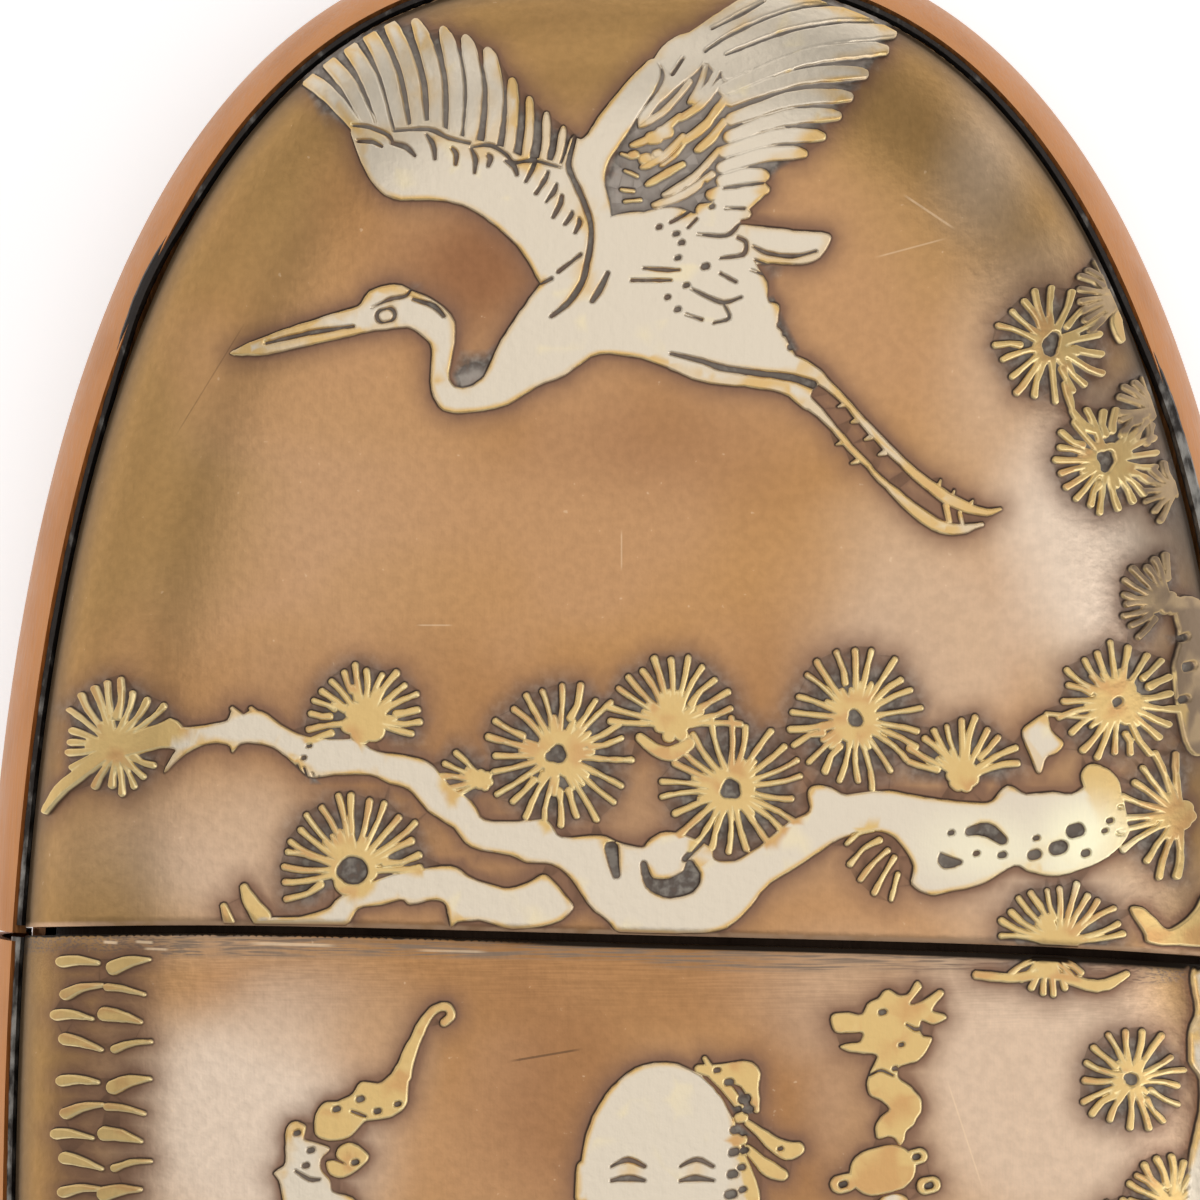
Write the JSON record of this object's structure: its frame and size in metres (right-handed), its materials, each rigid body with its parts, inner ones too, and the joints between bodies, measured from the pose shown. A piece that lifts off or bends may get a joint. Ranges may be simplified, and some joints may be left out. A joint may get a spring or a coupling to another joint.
{
  "type": "tobacco case",
  "caption": "Flat, arch-topped case of soldered sheet metal, lying on its back, with a lift-off lid and a crane, pines and an old man in low relief on its front.",
  "frame": {"origin": "under the middle of the case, on the plane that it lies on", "axes": "+X to the right of the picture, +Y towards the top of the arch, +Z out of the front"},
  "size_m": [0.0782, 0.1242, 0.0238],
  "materials": {
    "front_plates": "satin",
    "back_plates": "satin",
    "edge_bands": "satin",
    "collar": "matte"
  },
  "bodies": {
    "root": {"lid_front_plate": "front_plates", "body_front_plate": "front_plates", "lid_back_plate": "back_plates", "body_back_plate": "back_plates", "lid_edge_band": "edge_bands", "body_edge_band": "edge_bands", "body_collar": "collar"}
  },
  "joints": []
}
